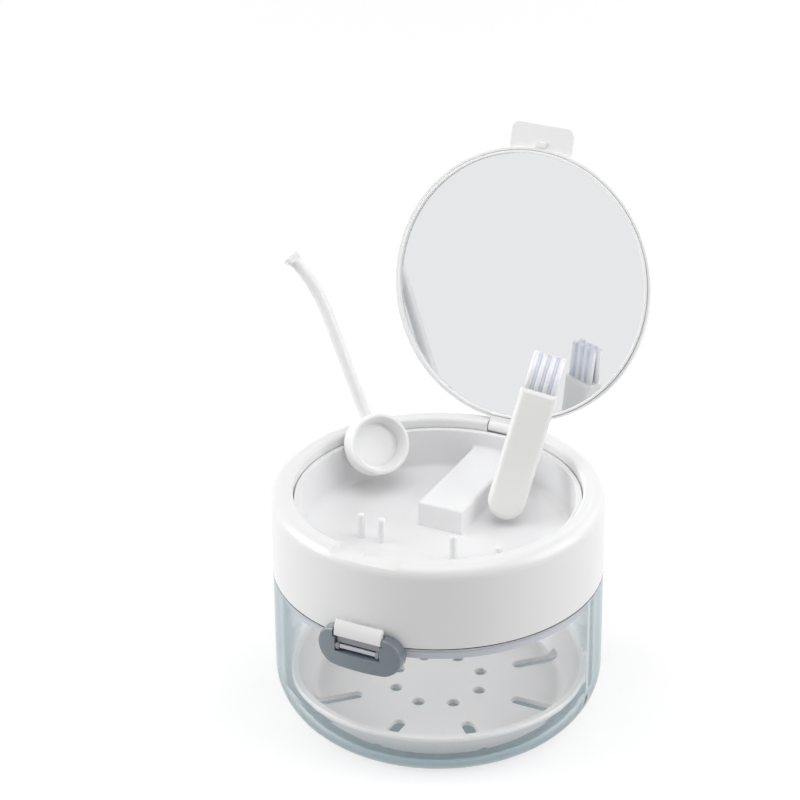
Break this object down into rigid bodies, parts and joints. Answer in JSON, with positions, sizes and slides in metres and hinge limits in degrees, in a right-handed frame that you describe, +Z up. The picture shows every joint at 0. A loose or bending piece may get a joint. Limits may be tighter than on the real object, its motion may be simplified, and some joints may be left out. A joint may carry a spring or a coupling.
{
  "type": "denture bath case",
  "caption": "Round denture bath: clear bowl with a lift-out drain basket, latched white upper body holding a tray for a brush and a remover tool, and a mirrored flip lid.",
  "frame": {"origin": "centre of the bowl's flat underside, on the bowl's axis, at the level it stands on", "axes": "+Z up, latch in front at -Y, both hinges at the back at +Y, +X to the right seen from the front"},
  "size_m": [0.1126, 0.1267, 0.1606],
  "materials": {
    "clear_plastic": "clear blue-grey, polished",
    "white_plastic": "satin white",
    "tray_plastic": "satin white",
    "boss_plastic": "smoky grey-blue",
    "seal_rubber": "soft",
    "steel": "drawn wire",
    "mirror": "silvered glass",
    "adhesive": "foam tape",
    "basket_plastic": "satin white",
    "bristle": "nylon bristle",
    "tool_plastic": "satin white"
  },
  "bodies": {
    "base": {"bowl": "clear_plastic", "latch_boss": "boss_plastic", "latch_pin": "steel", "rear_hinge_pin": "steel"},
    "basket": {"drain_basket": "basket_plastic"},
    "latch": {"latch_lever": "white_plastic"},
    "upper_body": {"upper_shell": "white_plastic", "tray_insert": "tray_plastic", "seal_ring": "seal_rubber", "lid_hinge_pin": "steel"},
    "lid": {"lid_shell": "white_plastic", "mirror_bezel": "white_plastic", "mirror_glass": "mirror", "mirror_adhesive": "adhesive"},
    "brush": {"brush_handle": "tool_plastic", "brush_tufts": "bristle"},
    "tool": {"tool_head": "tool_plastic", "tool_disc": "tool_plastic", "tool_rod": "tool_plastic"}
  },
  "joints": [
    {"name": "basket_lift", "type": "slide", "parent": "base", "child": "basket", "axis": [0, 0, 1], "range_m": [0, 0.04]},
    {"name": "latch_hinge", "type": "hinge", "parent": "base", "child": "latch", "pos_m": [0, -0.0511, 0.0462], "axis": [1, 0, 0], "range_deg": [0, 95]},
    {"name": "body_hinge", "type": "hinge", "parent": "base", "child": "upper_body", "pos_m": [0, 0.0516, 0.04815], "axis": [-1, 0, 0], "range_deg": [0, 95]},
    {"name": "lid_hinge", "type": "hinge", "parent": "upper_body", "child": "lid", "pos_m": [0, 0.0442, 0.0722], "axis": [1, 0, 0], "range_deg": [0, 107.5]},
    {"name": "brush_store", "type": "hinge", "parent": "upper_body", "child": "brush", "pos_m": [0.01503, 0.01427, 0.06662], "axis": [0.9766, 0.1074, -0.1865], "range_deg": [0, 121.2]},
    {"name": "tool_store", "type": "hinge", "parent": "upper_body", "child": "tool", "pos_m": [-0.03047, 0.01576, 0.06726], "axis": [0.6606, 0.7504, 0.0223], "range_deg": [0, 120.4]}
  ],
  "couplings": [
    {"joint": "brush_store", "follows": "lid_hinge", "ratio": 1.127},
    {"joint": "tool_store", "follows": "lid_hinge", "ratio": 1.1196}
  ]
}
